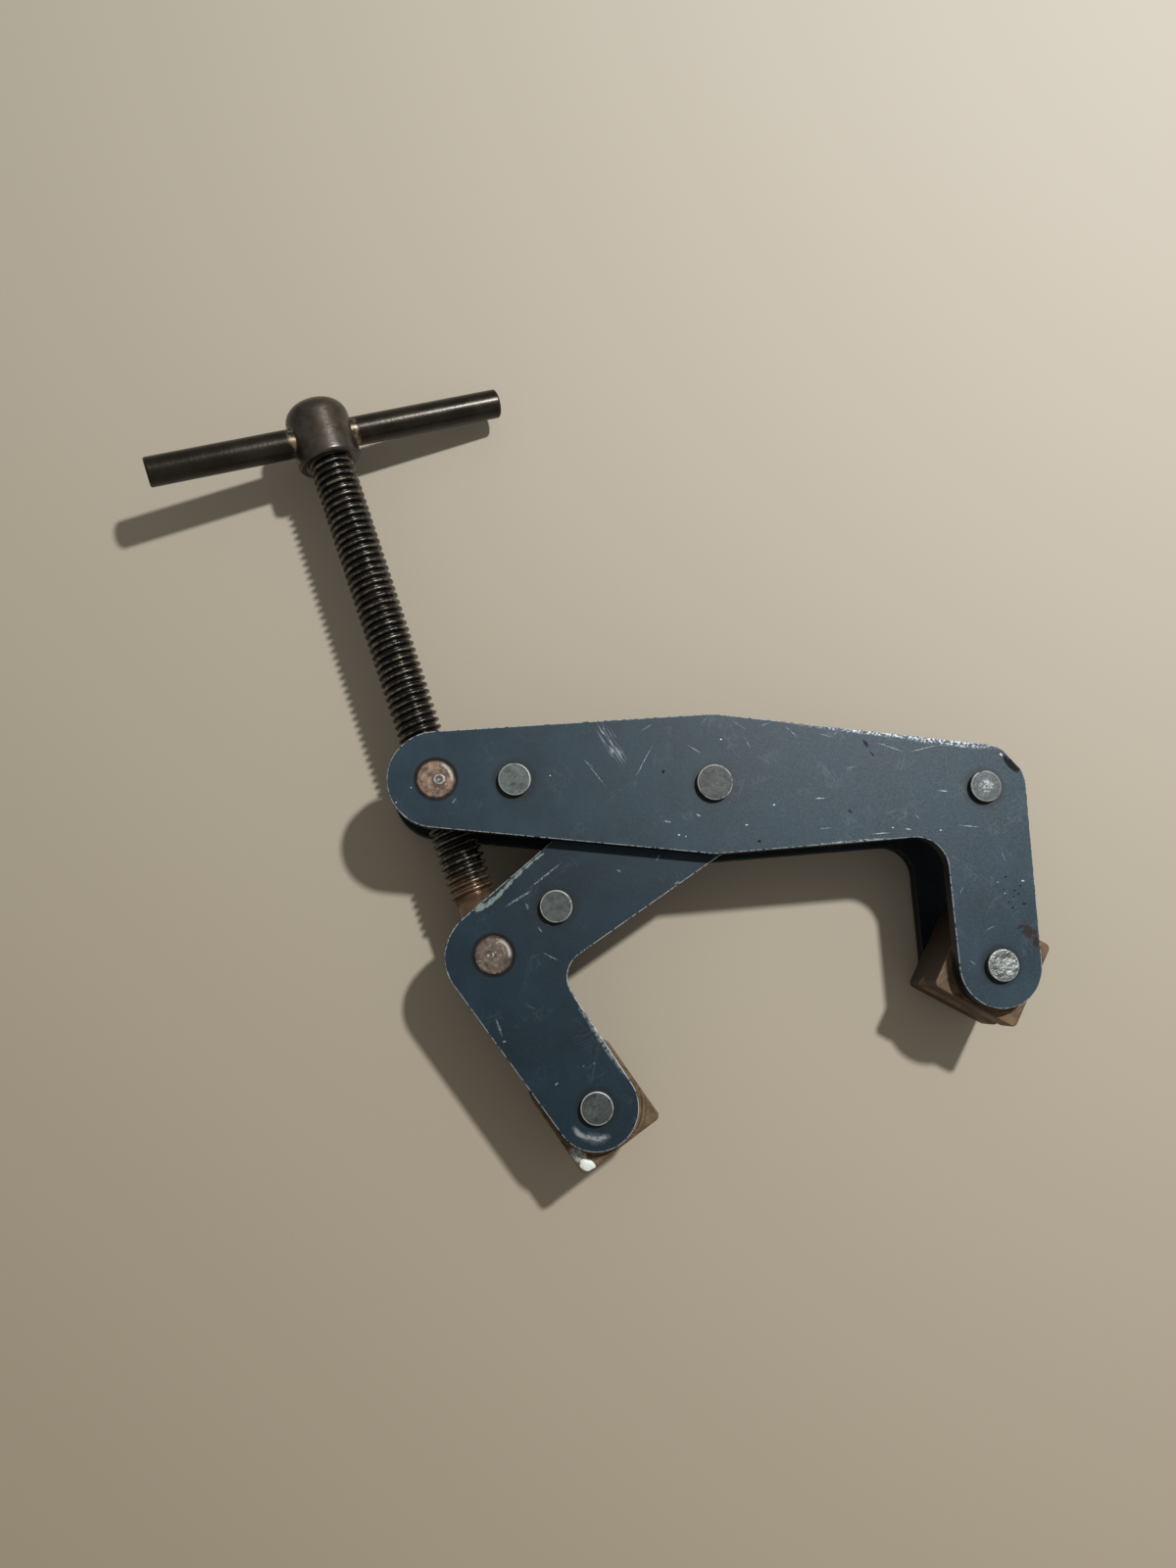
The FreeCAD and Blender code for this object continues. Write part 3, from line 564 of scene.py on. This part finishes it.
def browned_steel():
    """Browned steel of the head and the tee bar, rubbed brassy where the bar works in its hole."""
    f = Finish("browned_bar", metallic=0.7, coat=0.12)
    cloud = f.noise(7, 4, 0.6)
    base = f.blend(cloud.step(0.3, 0.7), (0.032, 0.025, 0.019), (0.112, 0.089, 0.072))
    blue = f.noise(5, 3, 0.6, shift=33).step(0.48, 0.70)
    base = f.blend(blue * 0.4, base, (0.060, 0.064, 0.078))
    brown = f.noise(2.4, 4, 0.7, shift=21).step(0.58, 0.72)
    base = f.blend(brown * 0.5, base, (0.080, 0.050, 0.030))
    from_swivel = f.vector("SUBTRACT", f.at, tuple(SWIVEL))
    from_bar = f.vector("SUBTRACT", from_swivel, tuple(SCREW_WAY * BAR_REACH))
    along = f.dot(from_bar, tuple(BAR_WAY))
    cross = f.vector("CROSS_PRODUCT", from_bar, tuple(BAR_WAY))
    radius = f.vector("LENGTH", cross, out="Value")
    reach = abs(along)
    entry = reach.step(HEAD_RADIUS + 1.2, HEAD_RADIUS + 0.1)
    entry = entry * reach.step(HEAD_RADIUS - 2.2, HEAD_RADIUS - 1.2)
    entry = entry * radius.step(BAR_RADIUS + 0.6, BAR_RADIUS + 0.1)
    worn = entry * f.noise(1.8, 2, 0.5, shift=61).step(0.44, 0.62)
    outside = reach.step(HEAD_RADIUS, HEAD_RADIUS + 0.6)
    base = f.blend(outside * 0.8, base, (0.012, 0.009, 0.005))
    base = f.blend(worn * 0.6, base, (0.36, 0.275, 0.175))
    fine = f.brushed(-80, 0.12, 4, 8).step(0.62, 0.75)
    base = f.blend(fine * 0.15, base, (0.14, 0.13, 0.13))
    f.paint(base, Roughness=0.21 + 0.20 * cloud)
    f.bump(f.noise(0.6, 3, 0.6, shift=25) + 0.8 * f.noise(2.5, 2, 0.5, shift=26), 0.035)
    return f.material


def white_paint():
    """A dried drop of white paint."""
    f = Finish("white_paint", roughness=0.35)
    dirt = f.noise(0.8, 3, 0.6).step(0.5, 0.75)
    f.paint(f.blend(dirt * 0.4, (0.78, 0.82, 0.78), (0.5, 0.5, 0.44)))
    f.bump(f.noise(0.4, 3, 0.6, shift=2), 0.05)
    return f.material


def pale_paper():
    """Pale floor with painted light falloff: browner and darker towards the lower left, away from the
    lamp, with the grain of paper.
    """
    f = Finish("pale_floor", roughness=0.85, specular=0.2)
    # Painted light falloff: the floor grows darker towards the lower left and the bottom, as if
    # further from the lamp.
    base = f.blend(f.x.step(-190, 190), (0.459, 0.410, 0.335), (0.561, 0.510, 0.443))
    darker = f.vector("SCALE", (0.226, 0.282, 0.372), Scale=f.y.step(250, -250))
    base = f.vector("MULTIPLY", base, f.vector("SUBTRACT", (1, 1, 1), darker))
    f.paint(f.vector("SCALE", base, Scale=0.97 + 0.06 * f.noise(0.5, 2, 0.7)))
    return f.material


def round_screw(distance, radius, share):
    """A point at a distance along the screw, a radius off its axis and a share of a turn round."""
    angle = 2 * math.pi * share
    up = SCREW_WAY.cross(SCREW_SIDE)
    out = SCREW_SIDE * math.cos(angle) + up * math.sin(angle)
    return SWIVEL + SCREW_WAY * distance + out * radius


def thread_radius(turns):
    """Radius of the thread at a share of one turn: a crest and a root, both worn round."""
    crest_share = 0.16
    flank_share = 0.68
    off_crest = abs((turns % 1) - 0.5) * 2
    ramp = min(max((off_crest - crest_share) / flank_share, 0), 1)
    smooth = ramp * ramp * (3 - 2 * ramp)
    return THREAD_RADIUS - THREAD_DEPTH * (0.45 * ramp + 0.55 * smooth)


def lathe(profile, around):
    """Points and faces of a solid turned about the screw axis, from (distance, radius) pairs."""
    points = [round_screw(distance, radius, i / around)
              for distance, radius in profile for i in range(around)]
    faces = []
    for row in range(0, len(points) - around, around):
        for i in range(around):
            j = (i + 1) % around
            faces.append((row + i, row + j, row + around + j, row + around + i))
    faces.append(tuple(reversed(range(around))))
    faces.append(tuple(range(len(points) - around, len(points))))
    return points, faces


def helix(low, high, around, rows_per_turn):
    """Points and faces of the thread: rows that climb one pitch for each time round."""
    step = THREAD_PITCH / rows_per_turn
    count = int((high - low) / step) + 2 * rows_per_turn
    points = []
    for k in range(count):
        for i in range(around):
            share = i / around
            distance = low - THREAD_PITCH + k * step + share * THREAD_PITCH
            held = min(max(distance, low), high)
            radius = thread_radius((held - low) / THREAD_PITCH - share)
            run_out = NECK_RADIUS + held - low
            points.append(round_screw(held, min(radius, run_out), share))
    faces = []
    for k in range(count - 1 - rows_per_turn):
        for i in range(around):
            j = (i + 1) % around
            up = rows_per_turn if j == 0 else 0
            faces.append((k * around + i, (k + up) * around + j,
                          (k + up + 1) * around + j, (k + 1) * around + i))
    return points, faces


def add_object(name, data):
    made = bpy.data.objects.new(name, data)
    bpy.context.scene.collection.objects.link(made)
    return made


def solid_of(name, sets, materials):
    """One object from several sets of points and faces, each with its own material."""
    same_place = 1e-7
    mesh = bpy.data.meshes.new(name)
    points = []
    faces = []
    slots = []
    for index, (some_points, some_faces) in enumerate(sets):
        shift = len(points)
        points += [p * MM for p in some_points]
        faces += [tuple(v + shift for v in face) for face in some_faces]
        slots += [index] * len(some_faces)
    mesh.from_pydata(points, [], faces)
    for material in materials:
        mesh.materials.append(material)
    mesh.polygons.foreach_set("material_index", slots)
    work = bmesh.new()
    work.from_mesh(mesh)
    bmesh.ops.remove_doubles(work, verts=work.verts, dist=same_place)
    bmesh.ops.dissolve_degenerate(work, edges=work.edges, dist=same_place)
    bmesh.ops.recalc_face_normals(work, faces=work.faces)
    work.to_mesh(mesh)
    work.free()
    mesh.polygons.foreach_set("use_smooth", [True] * len(mesh.polygons))
    return add_object(name, mesh)


def quarter_round(distance, off_axis, radius, start, count):
    """(distance, radius) pairs along a quarter circle, from an angle off square to the axis."""
    found = []
    for i in range(count + 1):
        angle = start + math.pi / 2 * i / count
        found.append((distance + radius * math.sin(angle), off_axis + radius * math.cos(angle)))
    return found


def threaded_screw(thread_finish, head_finish):
    """The screw with a true helical thread, and its domed head, neck and tail."""
    tail_end = -SWIVEL_HALF - SWIVEL_GAP - RING_THICKNESS - TAIL_PAST_RING
    tail = lathe([(tail_end, TAIL_RADIUS - TAIL_BEVEL), (tail_end + TAIL_BEVEL, TAIL_RADIUS),
                  (SWIVEL_HALF + SWIVEL_GAP / 2, TAIL_RADIUS)], SIDES["tail"])
    neck_end = SWIVEL_HALF + SWIVEL_GAP
    neck = lathe([(neck_end, NECK_RADIUS - NECK_BEVEL), (neck_end + NECK_BEVEL, NECK_RADIUS),
                  (THREAD_START + 0.3, NECK_RADIUS)], SIDES["neck"])
    thread = helix(THREAD_START, HEAD_REACH + THREAD_PAST_FACE, SIDES["thread"], ROWS_PER_TURN)
    recess = HEAD_REACH + RECESS_DEPTH
    shoulder = HEAD_REACH + HEAD_RIM
    dome = HEAD_REACH + HEAD_LENGTH - HEAD_DOME
    profile = [(recess, RECESS_RADIUS - 2.5), (recess, RECESS_RADIUS - 0.6),
               (HEAD_REACH + 0.02, RECESS_RADIUS - 0.2), (HEAD_REACH, RECESS_RADIUS)]
    profile += quarter_round(shoulder, HEAD_RADIUS - HEAD_RIM, HEAD_RIM, -math.pi / 2, count=8)
    profile += [(shoulder + 0.5, HEAD_RADIUS), (dome - 0.5, HEAD_RADIUS)]
    profile += quarter_round(dome, HEAD_RADIUS - HEAD_DOME, HEAD_DOME, 0, count=16)
    profile += [(HEAD_REACH + HEAD_LENGTH, 0.4)]
    head = lathe(profile, SIDES["head"])
    made = solid_of("threaded_screw", [tail, neck, thread, head],
                    [thread_finish, thread_finish, thread_finish, head_finish])
    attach(made, "screw")
    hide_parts("clamp_screw")


def paint_drop():
    """The drop of white paint on the lower corner of the swing jaw's pad."""
    work = bmesh.new()
    bmesh.ops.create_icosphere(work, subdivisions=4, radius=1)
    turn = Matrix.Rotation(DROP_TURN, 3, "Z")
    long, wide, high = DROP_HALF_SIZE
    for vertex in work.verts:
        x, y, z = vertex.co
        angle = math.atan2(y, x)
        uneven = 1 + 0.07 * math.sin(3 * angle + 0.6) + 0.05 * math.sin(5 * angle + 2.0)
        shaped = Vector((x * long * uneven, y * wide * uneven, z * high))
        vertex.co = (turn @ shaped + DROP_PLACE) * MM
    mesh = bpy.data.meshes.new("paint_drop")
    work.to_mesh(mesh)
    work.free()
    mesh.polygons.foreach_set("use_smooth", [True] * len(mesh.polygons))
    mesh.materials.append(white_paint())
    made = add_object("paint_drop", mesh)
    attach(made, "swing_pad")


def dress(nodes, material, *names):
    """Give the named nodes a material."""
    for name in names:
        mesh = nodes[name].data
        mesh.materials.clear()
        mesh.materials.append(material)


def floor_and_light():
    """A plain pale floor, one far small lamp at the upper right and a plain pale sky."""
    mesh = bpy.data.meshes.new("floor")
    half = FLOOR_HALF * MM
    corners = [(-half, -half, 0), (half, -half, 0), (half, half, 0), (-half, half, 0)]
    mesh.from_pydata(corners, [], [(0, 1, 2, 3)])
    mesh.materials.append(pale_paper())
    add_object("floor", mesh)

    lamp = bpy.data.lights.new("lamp", "AREA")
    lamp.shape = "DISK"
    lamp.size = LAMP_WIDTH * MM
    lamp.energy = LAMP_WATTS
    lamp.color = (0.985, 1.0, 0.985)
    holder = add_object("lamp", lamp)
    holder.location = LAMP_PLACE * MM
    holder.rotation_euler = LAMP_PLACE.to_track_quat("Z", "Y").to_euler()

    world = bpy.data.worlds.new("sky")
    bpy.context.scene.world = world
    world.use_nodes = True
    back = world.node_tree.nodes["Background"]
    back.inputs["Color"].default_value = (1.0, 0.98, 0.92, 1)
    back.inputs["Strength"].default_value = SKY_STRENGTH


def photo_camera():
    """The photograph's camera: nearly straight above, tilted about ten degrees."""
    across = (PIXEL_BELOW_CAMERA[0] - PICTURE_SIZE[0] / 2) / FOCAL_PIXELS
    down = -(PIXEL_BELOW_CAMERA[1] - PICTURE_SIZE[1] / 2) / FOCAL_PIXELS
    up_seen = -Vector((across, down, -1)).normalized()
    right_seen = (Vector((1, 0, 0)) - up_seen * up_seen.x).normalized()
    ahead_seen = up_seen.cross(right_seen)
    camera = bpy.data.cameras.new("camera")
    camera.sensor_fit = "VERTICAL"
    camera.sensor_height = SENSOR_HEIGHT
    camera.lens = SENSOR_HEIGHT * FOCAL_PIXELS / PICTURE_SIZE[1]
    camera.clip_start = 0.01
    holder = add_object("camera", camera)
    turn = Matrix((right_seen, ahead_seen, up_seen)).to_4x4()
    holder.matrix_world = Matrix.Translation(CAMERA_PLACE * MM) @ turn
    bpy.context.scene.camera = holder


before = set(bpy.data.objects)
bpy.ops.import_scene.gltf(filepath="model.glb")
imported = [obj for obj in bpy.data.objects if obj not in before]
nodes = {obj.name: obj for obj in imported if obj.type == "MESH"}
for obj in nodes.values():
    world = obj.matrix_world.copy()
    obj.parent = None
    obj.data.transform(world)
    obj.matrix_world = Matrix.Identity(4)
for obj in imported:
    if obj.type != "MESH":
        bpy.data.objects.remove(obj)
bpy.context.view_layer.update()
bpy.context.scene.view_settings.view_transform = "Standard"

SLATE = (0.015, 0.034, 0.051)
DEEP_BLUE = (0.006, 0.020, 0.033)
SHADED_BLUE = (0.004, 0.006, 0.009)
dress(nodes, lacquer("outer_lacquer_top", SLATE, 0.55, 1.0, OUTER_RIVETS, NUT, outer_top),
      "outer_plate_top")
dress(nodes, lacquer("outer_lacquer_bottom", SHADED_BLUE, 0.05, 0.03, OUTER_RIVETS, NUT),
      "outer_plate_bottom")
dress(nodes, lacquer("inner_lacquer_top", DEEP_BLUE, 0.3, 1.0, INNER_RIVETS, SWIVEL, inner_top),
      "inner_plate_top")
dress(nodes, lacquer("inner_lacquer_bottom", SHADED_BLUE, 0.05, 0.03, INNER_RIVETS, SWIVEL),
      "inner_plate_bottom")

dress(nodes, rivet_steel("rivet_arm", (0.080, 0.098, 0.095), 0.05, 1.3), "outer_arm_rivet")
dress(nodes, rivet_steel("rivet_pivot", (0.033, 0.037, 0.036), 0.06, 1.6), "pivot_rivet")
dress(nodes, rivet_steel("rivet_corner", (0.062, 0.075, 0.080), 0.05, 1.3, crumple=CORNER_RIVET),
      "outer_corner_rivet")
dress(nodes, rivet_steel("rivet_inner", (0.060, 0.070, 0.069), 0.04, 1.5),
      "inner_arm_rivet", "inner_pad_rivet")
dress(nodes, rivet_steel("rivet_hammered", (0.21, 0.225, 0.22), 0.8, 2.2, shine=0.6),
      "outer_pad_rivet")
dress(nodes, rivet_steel("spacer_steel", (0.10, 0.095, 0.088), 0.03, 1.5),
      "outer_arm_spacer", "outer_corner_spacer", "inner_arm_spacer", "pivot_spacer",
      "pivot_washer_top", "pivot_washer_bottom", "pad_washer_top", "pad_washer_bottom",
      "retaining_ring")

dress(nodes, trunnion_copper("nut_copper", (0.235, 0.155, 0.108), 0.36, NUT, 0.65, 1.4),
      "nut_trunnion")
dress(nodes, trunnion_copper("swivel_copper", (0.14, 0.105, 0.083), 0.45, SWIVEL, -0.7, 0.85),
      "swivel_trunnion")
dress(nodes, pad_copper("outer_pad_copper", OUTER_PAD_RIVET, 8.75), "outer_pad")
dress(nodes, pad_copper("inner_pad_copper", INNER_PAD_RIVET, 8.5, GREY_SMEAR), "inner_pad")
browned = browned_steel()
dress(nodes, browned, "tee_bar")
threaded_screw(oily_thread(), browned)
paint_drop()

floor_and_light()
photo_camera()
